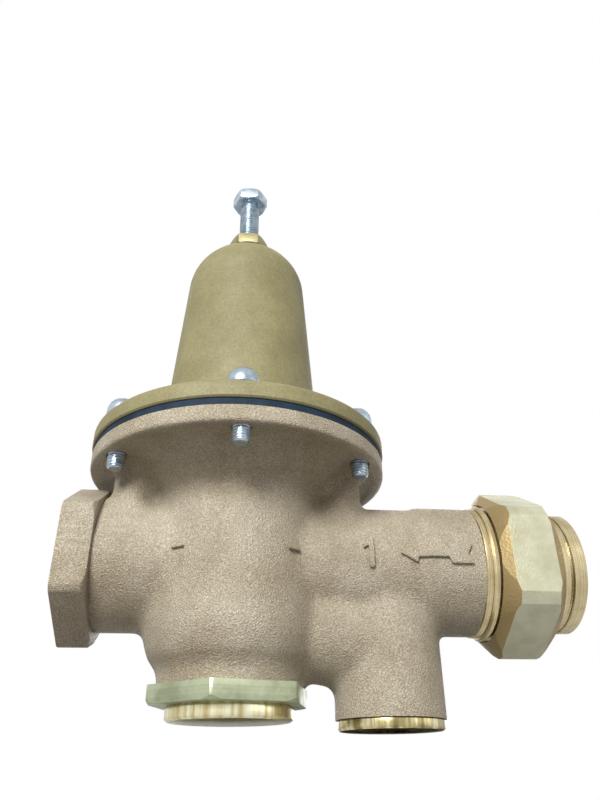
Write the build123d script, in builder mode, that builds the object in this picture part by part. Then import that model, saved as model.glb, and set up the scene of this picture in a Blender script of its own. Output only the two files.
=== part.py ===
from build123d import *
import math
import os

os.makedirs("parts", exist_ok=True)

# Diaphragm pressure regulator with an integral strainer and a union inlet.
# The origin is the centre of the outlet port's mouth. +X runs along the pipe
# to the inlet, and +Z runs up the valve's vertical axis to the adjusting screw.
# All sizes are millimetres. Heights are measured from the pipe axis.

# Casting: reaches along the pipe
outlet_reach = 52.7  # outlet mouth to the valve's vertical axis
strainer_reach = 48.4  # vertical axis to the strainer tower's axis
casting_reach = 80.3  # vertical axis to the end of the rough inlet neck
outlet_hex_length = 10.1
spigot_length = 9.7  # threaded union spigot beyond the rough neck

# Casting: outer sizes
outlet_hex_across_flats = 44.8
outlet_hex_corner_cut = 0.56
hex_chamfer_slope = 0.6  # height of a hexagon's chamfer for each unit of its width
neck_radius = 20.8
inlet_chamber_radius = 20.0
inlet_chamber_end = 59.0  # where the inlet chamber steps up to the neck
barrel_radius = 27.8
barrel_foot_wall = 4.5  # round the lower chamber, at the barrel's mouth
barrel_foot_height = -36.5
barrel_taper_height = -19.0
bowl_foot_height = 20.0
bowl_rim_radius = 40.5
flange_radius = 50.0
flange_top = 33.5
flange_thickness = 5.3
flange_lip_rounding = 2.1
tower_radius = 16.7
tower_foot_height = -45.25
belly_radius = 16.0
belly_start_height = -14.0  # belly axis where it leaves the vertical axis
belly_end_height = -21.5  # belly axis where it meets the tower's axis
boss_radius = 6.5
boss_offset_x = 33.9
boss_offset_y = 10.0

# Ports and passages
port_thread_radius = 15.15  # minor radius of the 1 inch pipe thread
outlet_thread_length = 17.0
outlet_passage_radius = 11.5
outlet_passage_height = 2.5
inlet_bore_radius = 14.0
web_top = -7.0
web_thickness = 5.0
upper_chamber_radius = 23.0
diaphragm_chamber_radius = 37.0
diaphragm_chamber_depth = 2.0
upper_chamber_step = 1.0  # the chamber starts to widen this far below the bowl's foot
lower_chamber_radius = 17.0
cross_passage_radius = 7.5
cross_passage_height = -22.3

# Seat ring, threaded up into the web, sized from the chamber that it goes in through
seat_orifice_share = 0.5  # of the lower chamber's radius
seat_thread_inset = 5.0  # from the lower chamber's wall
seat_flange_inset = 2.5
seat_flange_thickness = 1.5
seat_lip_height = 1.0
seat_lip_width = 1.0
seat_gasket_thickness = 0.8

# Stem and disc
stem_radius = 4.0
stem_tail_radius = 3.0
stem_head_radius = 3.5
stem_collar_radius = 6.0
stem_collar_height = 2.5
valve_opening = 2.0  # lift between disc and seat at rest
disc_inset = 6.0  # from the lower chamber's wall
disc_thickness = 3.0
disc_stand_proud = 0.4
holder_wall = 1.2
holder_floor = 1.5
disc_nut_across_flats = 10.0
disc_nut_thickness = 3.0
stem_tail_below_nut = 9.0
stem_end_above_nut = 1.2

# Diaphragm stack
diaphragm_thickness = 1.3
slip_ring_thickness = 1.3
stack_radius = 49.5
slip_ring_width = 12.5
support_radius = 20.0
support_thickness = 1.5
pressure_plate_radius = 22.0
pressure_plate_thickness = 3.0
pressure_plate_step = 1.0  # raised centre that locates the spring
stem_nut_across_flats = 13.0
stem_nut_thickness = 5.0

# Bonnet
bonnet_flange_radius = 50.4
bonnet_flange_thickness = 6.1
bonnet_flange_rounding = 1.6
cone_base_radius = 28.3
cone_top_radius = 23.0
cone_top_height = 112.0
crown_radius = 8.8
crown_height = 131.8
bonnet_wall = 3.6
cavity_top_height = 121.0
cavity_crown_radius = 9.0

# Bonnet screws
screw_count = 6
screw_circle_radius = 44.6
screw_radius = 2.75
screw_head_radius = 5.0
screw_head_height = 6.2
screw_tip_below_flange = 4.4
screw_slot_width = 1.2
screw_slot_depth = 1.2
screw_slot_length = 11.0
screw_slot_turn = 35.0  # degrees
screw_head_dome = 0.72  # share of the head's height that is domed
screw_tip_chamfer = 0.55

# Spring, button and adjusting screw
spring_wire_radius = 2.1
spring_mean_radius = 15.6
spring_turns = 8
button_underside_height = 106.0
button_plate_radius = 17.4
button_plate_thickness = 3.0
button_hub_radius = 8.0
button_hub_height = 3.0
button_dimple_depth = 1.0
adjusting_screw_radius = 4.1
adjusting_head_across_flats = 13.0
adjusting_head_height = 5.4
adjusting_head_underside = 161.2
adjusting_tip_chamfer = 0.6
washer_radius = 8.2
washer_thickness = 2.2
lock_nut_across_flats = 14.0
lock_nut_height = 6.0
lock_nut_turn = -2.0  # degrees
lock_nut_chamfer_slope = 0.7

# Bottom plug
plug_hex_across_flats = 43.9
plug_hex_height = 5.2
plug_hex_turn = -12.0  # degrees the front corner stands to the left
plug_hex_corner_cut = 0.25
plug_chamfer_slope = 0.5
plug_boss_radius = 19.0
plug_boss_height = 4.2
plug_spigot_length = 6.5
plug_well_inset = 4.5  # from the lower chamber's wall
plug_guide_wall = 3.0
plug_guide_floor = 1.0  # metal left under the stem's guide hole

# Strainer plug and screen
strainer_chamber_radius = 13.2
strainer_chamber_top = -17.0
strainer_cap_radius = 16.1
strainer_cap_height = 3.0
strainer_spigot_length = 8.0
strainer_key_across_flats = 12.0
strainer_key_depth = 5.0
screen_radius = 11.0
screen_thickness = 0.6
screen_seat_depth = 1.5
screen_hole_radius = 9.9

# Sealing rings
plug_ring_section = 1.9
strainer_ring_section = 1.2

# Union
spigot_radius = 22.0
spigot_groove_depth = 0.8
spigot_groove_under_nut = 0.4  # how far the groove runs in under the nut
spigot_collar_width = 0.7
spigot_chamfer = 0.8
union_nut_wall = 2.64  # from the spigot's thread to a flat
union_nut_face_margin = 0.4  # flat face left round the nut's bore
union_nut_corner_cut = 1.05
union_nut_start = 1.2  # gap between the casting's end and the nut
union_nut_length = 20.0
union_nut_chamfer_length = 3.9
union_gasket_thickness = 2.0
union_gasket_width = 6.0
tail_flange_inset = 0.5  # the tailpiece's radii are measured in from the spigot's
tail_flange_thickness = 3.0
tail_neck_inset = 3.4
tail_ring_inset = 2.4
tail_ring_start = 15.8  # from the spigot's end to the ring's near side
tail_ring_length = 4.7
tail_thread_length = 14.0
tail_bore_radius = 13.5

# Clearances
thread_clearance = 0.05
running_clearance = 0.05
turning_clearance = 0.08
ring_clearance = 0.05
nut_hole_clearance = 0.4
passage_clearance = 0.3

# Derived radii and widths
barrel_foot_radius = lower_chamber_radius + barrel_foot_wall
seat_orifice_radius = lower_chamber_radius * seat_orifice_share
seat_thread_radius = lower_chamber_radius - seat_thread_inset
seat_flange_radius = lower_chamber_radius - seat_flange_inset
disc_radius = lower_chamber_radius - disc_inset
plug_well_radius = lower_chamber_radius - plug_well_inset
union_nut_across_flats = 2 * (spigot_radius + union_nut_wall)
tail_flange_radius = spigot_radius - tail_flange_inset
tail_neck_radius = spigot_radius - tail_neck_inset
tail_ring_radius = spigot_radius - tail_ring_inset

# Derived places
flange_underside = flange_top - flange_thickness
web_underside = web_top - web_thickness
seat_gasket_top = web_underside
seat_flange_top = seat_gasket_top - seat_gasket_thickness
seat_face = seat_flange_top - seat_flange_thickness - seat_lip_height
disc_top = seat_face - valve_opening
holder_top = disc_top - disc_stand_proud
disc_bottom = disc_top - disc_thickness
holder_bottom = disc_bottom - holder_floor
disc_nut_bottom = holder_bottom - disc_nut_thickness
stem_bottom = disc_nut_bottom - stem_tail_below_nut
slip_ring_bottom = flange_top + diaphragm_thickness
bonnet_foot = slip_ring_bottom + slip_ring_thickness
bonnet_flange_top = bonnet_foot + bonnet_flange_thickness
support_bottom = flange_top - support_thickness
plate_top = slip_ring_bottom + pressure_plate_thickness
stem_top = plate_top + stem_nut_thickness + stem_end_above_nut
button_top = button_underside_height + button_plate_thickness
hub_top = button_top + button_hub_height
screw_tip_height = hub_top - button_dimple_depth
lock_nut_foot = crown_height + washer_thickness
plug_hex_bottom = barrel_foot_height - plug_hex_height
plug_boss_bottom = plug_hex_bottom - plug_boss_height
plug_spigot_top = barrel_foot_height + plug_spigot_length
guide_top = plug_spigot_top
guide_bottom = plug_hex_bottom + plug_guide_floor
strainer_cap_bottom = tower_foot_height - strainer_cap_height
strainer_spigot_top = tower_foot_height + strainer_spigot_length
strainer_x = outlet_reach + strainer_reach
casting_end = outlet_reach + casting_reach
spigot_end = casting_end + spigot_length
nut_near_end = casting_end + union_nut_start
nut_far_end = nut_near_end + union_nut_length
tail_flange_start = spigot_end + union_gasket_thickness
tail_flange_end = tail_flange_start + tail_flange_thickness
tail_ring_near = spigot_end + tail_ring_start
tail_end = tail_ring_near + tail_ring_length

# Working planes. On the two upright planes the first coordinate is a radius and
# the second a height. On the pipe plane the second is a distance along the pipe.
valve_plane = Plane((outlet_reach, 0, 0), x_dir=(1, 0, 0), z_dir=(0, -1, 0))
tower_plane = Plane((strainer_x, 0, 0), x_dir=(1, 0, 0), z_dir=(0, -1, 0))
pipe_plane = Plane((0, 0, 0), x_dir=(0, 0, 1), z_dir=(0, 1, 0))


def turn(plane, corners, mode=Mode.ADD):
    """Turn a closed outline of (radius, height) corners about the plane's height axis."""
    with BuildSketch(plane) as outline:
        with BuildLine():
            Polyline(*corners, close=True)
        make_face()
    revolve(outline.sketch, axis=Axis(plane.origin, plane.y_dir), mode=mode)


def band(inner, outer, low, high):
    """Corners of a plain ring from one height to another; inner may be zero."""
    return [(inner, low), (outer, low), (outer, high), (inner, high)]


def prism(plane, across_flats, length, turned=0.0):
    """Extrude a hexagon from a plane. Unturned, its flats face the plane's x direction."""
    with BuildSketch(plane) as hexagon:
        RegularPolygon(across_flats / 2, 6, major_radius=False, rotation=30 + turned)
    extrude(hexagon.sketch, amount=length)


def corner_radius(across_flats):
    """Distance from a hexagon's centre to its sharp corner."""
    return across_flats / math.sqrt(3)


def level(height, x=outlet_reach):
    """A horizontal plane at a height, centred on a vertical axis at x."""
    return Plane((x, 0, height), x_dir=(1, 0, 0), z_dir=(0, 0, 1))


def station(x):
    """A plane square to the pipe at a distance x, with its first direction towards +Y."""
    return Plane((x, 0, 0), x_dir=(0, 1, 0), z_dir=(1, 0, 0))


# Valve body: one bronze casting with machined ports, seat web and spigot
with BuildPart() as valve_body:
    # Spanner hexagon round the outlet port, with its corners turned off
    prism(station(0), outlet_hex_across_flats, outlet_hex_length)
    hex_circle = corner_radius(outlet_hex_across_flats) - outlet_hex_corner_cut
    hex_edge = hex_circle - outlet_hex_across_flats / 2
    hex_outline = [
        (0, 0),
        (hex_circle - hex_edge, 0),
        (hex_circle, hex_edge * hex_chamfer_slope),
        (hex_circle, outlet_hex_length - hex_edge * hex_chamfer_slope),
        (hex_circle - hex_edge, outlet_hex_length),
        (0, outlet_hex_length),
    ]
    turn(pipe_plane, hex_outline, mode=Mode.INTERSECT)

    # Barrel, diaphragm bowl and flange
    barrel_outline = [
        (0, barrel_foot_height),
        (barrel_foot_radius, barrel_foot_height),
        (barrel_radius, barrel_taper_height),
        (barrel_radius, bowl_foot_height),
        (bowl_rim_radius, flange_underside),
        (flange_radius, flange_underside),
        (flange_radius, flange_top),
        (0, flange_top),
    ]
    turn(valve_plane, barrel_outline)
    rim_edges = valve_body.edges().filter_by(GeomType.CIRCLE)
    rim_edges = rim_edges.filter_by(lambda edge: abs(edge.radius - flange_radius) < 0.01)
    fillet(rim_edges.sort_by(Axis.Z)[0], radius=flange_lip_rounding)

    # Outlet neck, inlet chamber, inlet neck and the union spigot on the pipe axis
    turn(pipe_plane, band(0, neck_radius, outlet_hex_length, outlet_reach))
    turn(pipe_plane, band(0, inlet_chamber_radius, outlet_reach, outlet_reach + inlet_chamber_end))
    turn(pipe_plane, band(0, neck_radius, outlet_reach + inlet_chamber_end, casting_end))
    groove_near = casting_end + spigot_collar_width
    groove_far = nut_near_end + spigot_groove_under_nut
    spigot_outline = [
        (0, casting_end),
        (spigot_radius, casting_end),
        (spigot_radius, groove_near),
        (spigot_radius - spigot_groove_depth, groove_near),
        (spigot_radius - spigot_groove_depth, groove_far),
        (spigot_radius, groove_far),
        (spigot_radius, spigot_end - spigot_chamfer),
        (spigot_radius - spigot_chamfer, spigot_end),
        (0, spigot_end),
    ]
    turn(pipe_plane, spigot_outline)

    # Strainer tower, and the sloping belly that joins it to the barrel
    turn(tower_plane, band(0, tower_radius, tower_foot_height, 0))
    belly_rise = belly_start_height - belly_end_height
    belly_length = math.hypot(strainer_reach, belly_rise)
    belly_plane = Plane(
        (outlet_reach, 0, belly_start_height),
        x_dir=(0, 1, 0),
        z_dir=(strainer_reach, 0, -belly_rise),
    )
    with BuildSketch(belly_plane) as belly_section:
        Circle(belly_radius)
    extrude(belly_section.sketch, amount=belly_length)
    with Locations((strainer_x, 0, belly_end_height)):
        Sphere(belly_radius)

    # Upright bosses under the flange, on the shoulders of the chamber and the neck
    for side in (-1, 1):
        with BuildSketch(level(0)) as boss_section:
            with Locations((side * boss_offset_x, -boss_offset_y), (side * boss_offset_x, boss_offset_y)):
                Circle(boss_radius)
        extrude(boss_section.sketch, amount=flange_underside)

    # Diaphragm chamber and outlet chamber, above the web
    upper_outline = [
        (0, web_top),
        (upper_chamber_radius, web_top),
        (upper_chamber_radius, bowl_foot_height - upper_chamber_step),
        (diaphragm_chamber_radius, flange_top - diaphragm_chamber_depth),
        (diaphragm_chamber_radius, flange_top),
        (0, flange_top),
    ]
    turn(valve_plane, upper_outline, mode=Mode.SUBTRACT)

    # Threaded hole for the seat, and the lower chamber with its ring recess
    seat_hole_radius = seat_thread_radius + thread_clearance
    turn(valve_plane, band(0, seat_hole_radius, web_underside, web_top), mode=Mode.SUBTRACT)
    plug_bore_radius = lower_chamber_radius
    turn(valve_plane, band(0, plug_bore_radius, barrel_foot_height, web_underside), mode=Mode.SUBTRACT)
    plug_recess_radius = plug_bore_radius + plug_ring_section + ring_clearance
    plug_recess_top = barrel_foot_height + plug_ring_section + ring_clearance
    turn(valve_plane, band(0, plug_recess_radius, barrel_foot_height, plug_recess_top), mode=Mode.SUBTRACT)

    # Outlet port and the passage up to the outlet chamber
    turn(pipe_plane, band(0, port_thread_radius, 0, outlet_thread_length), mode=Mode.SUBTRACT)
    outlet_passage_plane = Plane(
        (outlet_thread_length, 0, outlet_passage_height), x_dir=(0, 1, 0), z_dir=(1, 0, 0)
    )
    with BuildSketch(outlet_passage_plane) as outlet_passage:
        Circle(outlet_passage_radius)
    extrude(outlet_passage.sketch, amount=outlet_reach - outlet_thread_length, mode=Mode.SUBTRACT)

    # Inlet bore, its rounded end over the strainer, and the strainer chamber
    turn(pipe_plane, band(0, inlet_bore_radius, strainer_x, spigot_end), mode=Mode.SUBTRACT)
    with Locations((strainer_x, 0, 0)):
        Sphere(inlet_bore_radius, mode=Mode.SUBTRACT)
    turn(tower_plane, band(0, screen_hole_radius, strainer_chamber_top, 0), mode=Mode.SUBTRACT)
    screen_seat_radius = screen_radius + passage_clearance
    screen_seat_top = strainer_chamber_top + screen_seat_depth
    turn(tower_plane, band(0, screen_seat_radius, strainer_chamber_top, screen_seat_top), mode=Mode.SUBTRACT)
    turn(
        tower_plane,
        band(0, strainer_chamber_radius, tower_foot_height, strainer_chamber_top),
        mode=Mode.SUBTRACT,
    )
    strainer_recess_radius = strainer_chamber_radius + strainer_ring_section + ring_clearance
    strainer_recess_top = tower_foot_height + strainer_ring_section + ring_clearance
    turn(
        tower_plane,
        band(0, strainer_recess_radius, tower_foot_height, strainer_recess_top),
        mode=Mode.SUBTRACT,
    )

    # Cross passage from round the screen to the chamber under the seat
    cross_plane = Plane((outlet_reach, 0, cross_passage_height), x_dir=(0, 1, 0), z_dir=(1, 0, 0))
    with BuildSketch(cross_plane) as cross_section:
        Circle(cross_passage_radius)
    extrude(cross_section.sketch, amount=strainer_reach - screen_radius, mode=Mode.SUBTRACT)

    # Tapped holes for the bonnet screws
    with BuildSketch(level(flange_underside)) as tapped_holes:
        with PolarLocations(screw_circle_radius, screw_count, start_angle=-90):
            Circle(screw_radius + thread_clearance)
    extrude(tapped_holes.sketch, amount=flange_thickness, mode=Mode.SUBTRACT)
valve_body.part.label = "valve_body"
export_step(valve_body.part, "parts/valve_body.step")

# Seat ring: turned brass, screwed up into the web from below
with BuildPart() as seat_ring:
    seat_outline = [
        (seat_orifice_radius, seat_face),
        (seat_orifice_radius + seat_lip_width, seat_face),
        (seat_orifice_radius + seat_lip_width, seat_face + seat_lip_height),
        (seat_flange_radius, seat_face + seat_lip_height),
        (seat_flange_radius, seat_flange_top),
        (seat_thread_radius, seat_flange_top),
        (seat_thread_radius, web_top),
        (seat_orifice_radius, web_top),
    ]
    turn(valve_plane, seat_outline)
seat_ring.part.label = "seat_ring"
export_step(seat_ring.part, "parts/seat_ring.step")

# Seat gasket: fibre ring between the seat's flange and the web
with BuildPart() as seat_gasket:
    seat_gasket_inner = seat_thread_radius + ring_clearance
    turn(valve_plane, band(seat_gasket_inner, seat_flange_radius, seat_flange_top, seat_gasket_top))
seat_gasket.part.label = "seat_gasket"
export_step(seat_gasket.part, "parts/seat_gasket.step")

# Bottom plug: brass hexagon with a turned boss, and a spigot that guides the stem
with BuildPart() as bottom_plug:
    prism(level(plug_hex_bottom), plug_hex_across_flats, plug_hex_height, turned=plug_hex_turn)
    plug_circle = corner_radius(plug_hex_across_flats) - plug_hex_corner_cut
    plug_edge = plug_circle - plug_hex_across_flats / 2
    plug_outline = [
        (0, plug_hex_bottom),
        (plug_circle - plug_edge, plug_hex_bottom),
        (plug_circle, plug_hex_bottom + plug_edge * plug_chamfer_slope),
        (plug_circle, barrel_foot_height),
        (0, barrel_foot_height),
    ]
    turn(valve_plane, plug_outline, mode=Mode.INTERSECT)
    boss_edge = 0.5
    boss_outline = [
        (0, plug_boss_bottom),
        (plug_boss_radius - boss_edge, plug_boss_bottom),
        (plug_boss_radius, plug_boss_bottom + boss_edge),
        (plug_boss_radius, plug_hex_bottom),
        (0, plug_hex_bottom),
    ]
    turn(valve_plane, boss_outline)
    plug_spigot_radius = plug_bore_radius - thread_clearance
    turn(valve_plane, band(0, plug_spigot_radius, barrel_foot_height, plug_spigot_top))
    guide_radius = stem_tail_radius + running_clearance
    well_inner = guide_radius + plug_guide_wall
    turn(
        valve_plane,
        band(well_inner, plug_well_radius, barrel_foot_height, plug_spigot_top),
        mode=Mode.SUBTRACT,
    )
    turn(valve_plane, band(0, guide_radius, guide_bottom, guide_top), mode=Mode.SUBTRACT)
bottom_plug.part.label = "bottom_plug"
export_step(bottom_plug.part, "parts/bottom_plug.step")

# Bottom plug's sealing ring, in the recess round the barrel's mouth
with BuildPart() as bottom_plug_o_ring:
    plug_ring_radius = plug_ring_section / 2
    plug_ring_centre = (plug_bore_radius + plug_ring_radius, barrel_foot_height + plug_ring_radius)
    with BuildSketch(valve_plane) as plug_ring_circle:
        with Locations(plug_ring_centre):
            Circle(plug_ring_radius)
    revolve(plug_ring_circle.sketch, axis=Axis(valve_plane.origin, valve_plane.y_dir))
bottom_plug_o_ring.part.label = "bottom_plug_o_ring"
export_step(bottom_plug_o_ring.part, "parts/bottom_plug_o_ring.step")

# Strainer plug: round brass cap with a threaded spigot and a hexagon key socket
with BuildPart() as strainer_plug:
    cap_edge = 0.6
    cap_outline = [
        (0, strainer_cap_bottom),
        (strainer_cap_radius - cap_edge, strainer_cap_bottom),
        (strainer_cap_radius, strainer_cap_bottom + cap_edge),
        (strainer_cap_radius, tower_foot_height),
        (0, tower_foot_height),
    ]
    turn(tower_plane, cap_outline)
    strainer_spigot_radius = strainer_chamber_radius - thread_clearance
    turn(tower_plane, band(0, strainer_spigot_radius, tower_foot_height, strainer_spigot_top))
    screen_pocket_floor = strainer_spigot_top - screen_seat_depth
    screen_pocket_radius = screen_radius + ring_clearance
    turn(
        tower_plane,
        band(0, screen_pocket_radius, screen_pocket_floor, strainer_spigot_top),
        mode=Mode.SUBTRACT,
    )
    with BuildSketch(level(strainer_cap_bottom, strainer_x)) as key_socket:
        RegularPolygon(strainer_key_across_flats / 2, 6, major_radius=False)
    extrude(key_socket.sketch, amount=strainer_key_depth, mode=Mode.SUBTRACT)
strainer_plug.part.label = "strainer_plug"
export_step(strainer_plug.part, "parts/strainer_plug.step")

# Strainer plug's sealing ring
with BuildPart() as strainer_plug_o_ring:
    strainer_ring_radius = strainer_ring_section / 2
    strainer_ring_centre = (
        strainer_chamber_radius + strainer_ring_radius,
        tower_foot_height + strainer_ring_radius,
    )
    with BuildSketch(tower_plane) as strainer_ring_circle:
        with Locations(strainer_ring_centre):
            Circle(strainer_ring_radius)
    revolve(strainer_ring_circle.sketch, axis=Axis(tower_plane.origin, tower_plane.y_dir))
strainer_plug_o_ring.part.label = "strainer_plug_o_ring"
export_step(strainer_plug_o_ring.part, "parts/strainer_plug_o_ring.step")

# Strainer screen: rolled steel mesh tube, seated in the plug and in the body
with BuildPart() as strainer_screen:
    turn(
        tower_plane,
        band(screen_radius - screen_thickness, screen_radius, screen_pocket_floor, screen_seat_top),
    )
strainer_screen.part.label = "strainer_screen"
export_step(strainer_screen.part, "parts/strainer_screen.step")

# Stem: turned brass rod with two collars, a guide tail and a threaded head
with BuildPart() as stem:
    stem_outline = [
        (0, stem_bottom),
        (stem_tail_radius, stem_bottom),
        (stem_tail_radius, disc_top),
        (stem_collar_radius, disc_top),
        (stem_collar_radius, disc_top + stem_collar_height),
        (stem_radius, disc_top + stem_collar_height),
        (stem_radius, support_bottom - stem_collar_height),
        (stem_collar_radius, support_bottom - stem_collar_height),
        (stem_collar_radius, support_bottom),
        (stem_head_radius, support_bottom),
        (stem_head_radius, stem_top),
        (0, stem_top),
    ]
    turn(valve_plane, stem_outline)
stem.part.label = "stem"
export_step(stem.part, "parts/stem.step")

# Disc holder: turned brass cup under the seat
with BuildPart() as disc_holder:
    holder_radius = disc_radius + ring_clearance + holder_wall
    holder_outline = [
        (stem_tail_radius + ring_clearance, holder_bottom),
        (holder_radius, holder_bottom),
        (holder_radius, holder_top),
        (disc_radius + ring_clearance, holder_top),
        (disc_radius + ring_clearance, disc_bottom),
        (stem_tail_radius + ring_clearance, disc_bottom),
    ]
    turn(valve_plane, holder_outline)
disc_holder.part.label = "disc_holder"
export_step(disc_holder.part, "parts/disc_holder.step")

# Valve disc: rubber washer that closes against the seat
with BuildPart() as valve_disc:
    turn(valve_plane, band(stem_tail_radius + ring_clearance, disc_radius, disc_bottom, disc_top))
valve_disc.part.label = "valve_disc"
export_step(valve_disc.part, "parts/valve_disc.step")

# Disc nut: holds the disc and its holder up against the stem's lower collar
with BuildPart() as disc_nut:
    prism(level(disc_nut_bottom), disc_nut_across_flats, disc_nut_thickness)
    turn(
        valve_plane,
        band(0, stem_tail_radius + thread_clearance, disc_nut_bottom, holder_bottom),
        mode=Mode.SUBTRACT,
    )
disc_nut.part.label = "disc_nut"
export_step(disc_nut.part, "parts/disc_nut.step")

# Diaphragm support: brass washer under the diaphragm
with BuildPart() as diaphragm_support:
    turn(valve_plane, band(stem_head_radius + ring_clearance, support_radius, support_bottom, flange_top))
diaphragm_support.part.label = "diaphragm_support"
export_step(diaphragm_support.part, "parts/diaphragm_support.step")

# Diaphragm: fabric-backed rubber sheet, clamped at its rim and at the stem
with BuildPart() as diaphragm:
    turn(valve_plane, band(stem_head_radius + ring_clearance, stack_radius, flange_top, slip_ring_bottom))
    with BuildSketch(level(flange_top)) as diaphragm_holes:
        with PolarLocations(screw_circle_radius, screw_count, start_angle=-90):
            Circle(screw_radius + passage_clearance)
    extrude(diaphragm_holes.sketch, amount=diaphragm_thickness, mode=Mode.SUBTRACT)
diaphragm.part.label = "diaphragm"
export_step(diaphragm.part, "parts/diaphragm.step")

# Slip ring: second black layer at the rim, between the diaphragm and the bonnet
with BuildPart() as diaphragm_slip_ring:
    turn(
        valve_plane,
        band(stack_radius - slip_ring_width, stack_radius, slip_ring_bottom, bonnet_foot),
    )
    with BuildSketch(level(slip_ring_bottom)) as slip_ring_holes:
        with PolarLocations(screw_circle_radius, screw_count, start_angle=-90):
            Circle(screw_radius + passage_clearance)
    extrude(slip_ring_holes.sketch, amount=slip_ring_thickness, mode=Mode.SUBTRACT)
diaphragm_slip_ring.part.label = "diaphragm_slip_ring"
export_step(diaphragm_slip_ring.part, "parts/diaphragm_slip_ring.step")

# Pressure plate: steel disc that takes the spring's load above the diaphragm
with BuildPart() as pressure_plate:
    locating_radius = spring_mean_radius - spring_wire_radius - passage_clearance
    plate_outline = [
        (stem_head_radius + ring_clearance, slip_ring_bottom),
        (pressure_plate_radius, slip_ring_bottom),
        (pressure_plate_radius, plate_top - pressure_plate_step),
        (locating_radius, plate_top - pressure_plate_step),
        (locating_radius, plate_top),
        (stem_head_radius + ring_clearance, plate_top),
    ]
    turn(valve_plane, plate_outline)
pressure_plate.part.label = "pressure_plate"
export_step(pressure_plate.part, "parts/pressure_plate.step")

# Stem nut: clamps the plate, the diaphragm and the support to the stem
with BuildPart() as stem_nut:
    prism(level(plate_top), stem_nut_across_flats, stem_nut_thickness)
    turn(
        valve_plane,
        band(0, stem_head_radius + thread_clearance, plate_top, plate_top + stem_nut_thickness),
        mode=Mode.SUBTRACT,
    )
stem_nut.part.label = "stem_nut"
export_step(stem_nut.part, "parts/stem_nut.step")

# Bonnet: cast spring cage with a flange, a tapered tower and a tapped crown
with BuildPart() as bonnet:
    crown_rise = crown_height - cone_top_height
    with BuildSketch(valve_plane) as bonnet_section:
        with BuildLine():
            foot = Line((0, bonnet_foot), (bonnet_flange_radius, bonnet_foot))
            rim = Line(foot @ 1, (bonnet_flange_radius, bonnet_flange_top))
            ledge = Line(rim @ 1, (cone_base_radius, bonnet_flange_top))
            cone = Line(ledge @ 1, (cone_top_radius, cone_top_height))
            crown_start = (crown_radius, crown_height)
            crown = TangentArc(cone @ 1, crown_start, tangent=cone % 1)
            top = Line(crown @ 1, (0, crown_height))
            Line(top @ 1, foot @ 0)
        make_face()
    revolve(bonnet_section.sketch, axis=Axis(valve_plane.origin, valve_plane.y_dir))
    flange_edges = bonnet.edges().filter_by(GeomType.CIRCLE)
    outer_edges = flange_edges.filter_by(lambda edge: abs(edge.radius - bonnet_flange_radius) < 0.01)
    fillet(outer_edges.sort_by(Axis.Z)[-1], radius=bonnet_flange_rounding)
    root_edges = bonnet.edges().filter_by(GeomType.CIRCLE)
    root_edges = root_edges.filter_by(lambda edge: abs(edge.radius - cone_base_radius) < 0.01)
    fillet(root_edges.sort_by(Axis.Z)[0], radius=bonnet_flange_rounding)

    # Spring cavity, open at the diaphragm
    cavity_outline = [
        (0, bonnet_foot),
        (cone_base_radius - bonnet_wall, bonnet_foot),
        (cone_top_radius - bonnet_wall, cone_top_height),
        (cavity_crown_radius, cavity_top_height),
        (0, cavity_top_height),
    ]
    turn(valve_plane, cavity_outline, mode=Mode.SUBTRACT)
    tapped_radius = adjusting_screw_radius + turning_clearance
    turn(valve_plane, band(0, tapped_radius, cavity_top_height, crown_height), mode=Mode.SUBTRACT)

    # Screw holes in the flange
    with BuildSketch(level(bonnet_foot)) as bonnet_holes:
        with PolarLocations(screw_circle_radius, screw_count, start_angle=-90):
            Circle(screw_radius + passage_clearance)
    extrude(bonnet_holes.sketch, amount=bonnet_flange_thickness, mode=Mode.SUBTRACT)
bonnet.part.label = "bonnet"
export_step(bonnet.part, "parts/bonnet.step")

# Bonnet screws: slotted round heads, six alike on one circle
with BuildPart() as bonnet_screws:
    screw_bottom = flange_underside - screw_tip_below_flange
    with BuildSketch(level(screw_bottom)) as shanks:
        with PolarLocations(screw_circle_radius, screw_count, start_angle=-90):
            Circle(screw_radius)
    extrude(shanks.sketch, amount=bonnet_flange_top - screw_bottom)
    with BuildSketch(level(bonnet_flange_top)) as heads:
        with PolarLocations(screw_circle_radius, screw_count, start_angle=-90):
            Circle(screw_head_radius)
    extrude(heads.sketch, amount=screw_head_height)
    head_top_edges = bonnet_screws.edges().filter_by(GeomType.CIRCLE).group_by(Axis.Z)[-1]
    fillet(head_top_edges, radius=screw_head_height * screw_head_dome)
    tip_edges = bonnet_screws.edges().filter_by(GeomType.CIRCLE).group_by(Axis.Z)[0]
    chamfer(tip_edges, length=screw_tip_chamfer)
    with BuildSketch(level(bonnet_flange_top + screw_head_height - screw_slot_depth)) as slots:
        with PolarLocations(screw_circle_radius, screw_count, start_angle=-90):
            Rectangle(screw_slot_length, screw_slot_width, rotation=screw_slot_turn)
    extrude(slots.sketch, amount=screw_slot_depth, mode=Mode.SUBTRACT)
bonnet_screws.part.label = "bonnet_screws"
export_step(bonnet_screws.part, "parts/bonnet_screws.step")

# Range spring: round wire with ground ends, between the plate and the button
with BuildPart() as range_spring:
    spring_foot = plate_top - pressure_plate_step
    spring_height = button_underside_height - spring_foot
    spring_pitch = spring_height / spring_turns
    spring_start = (outlet_reach, 0, spring_foot)
    coil = Helix(spring_pitch, spring_height, spring_mean_radius, center=spring_start)
    with BuildSketch(Plane(coil @ 0, z_dir=coil % 0)) as wire_section:
        Circle(spring_wire_radius)
    sweep(wire_section.sketch, path=coil, is_frenet=True)
    split(bisect_by=level(spring_foot), keep=Keep.TOP)
    split(bisect_by=level(button_underside_height), keep=Keep.BOTTOM)
range_spring.part.label = "range_spring"
export_step(range_spring.part, "parts/range_spring.step")

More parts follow.
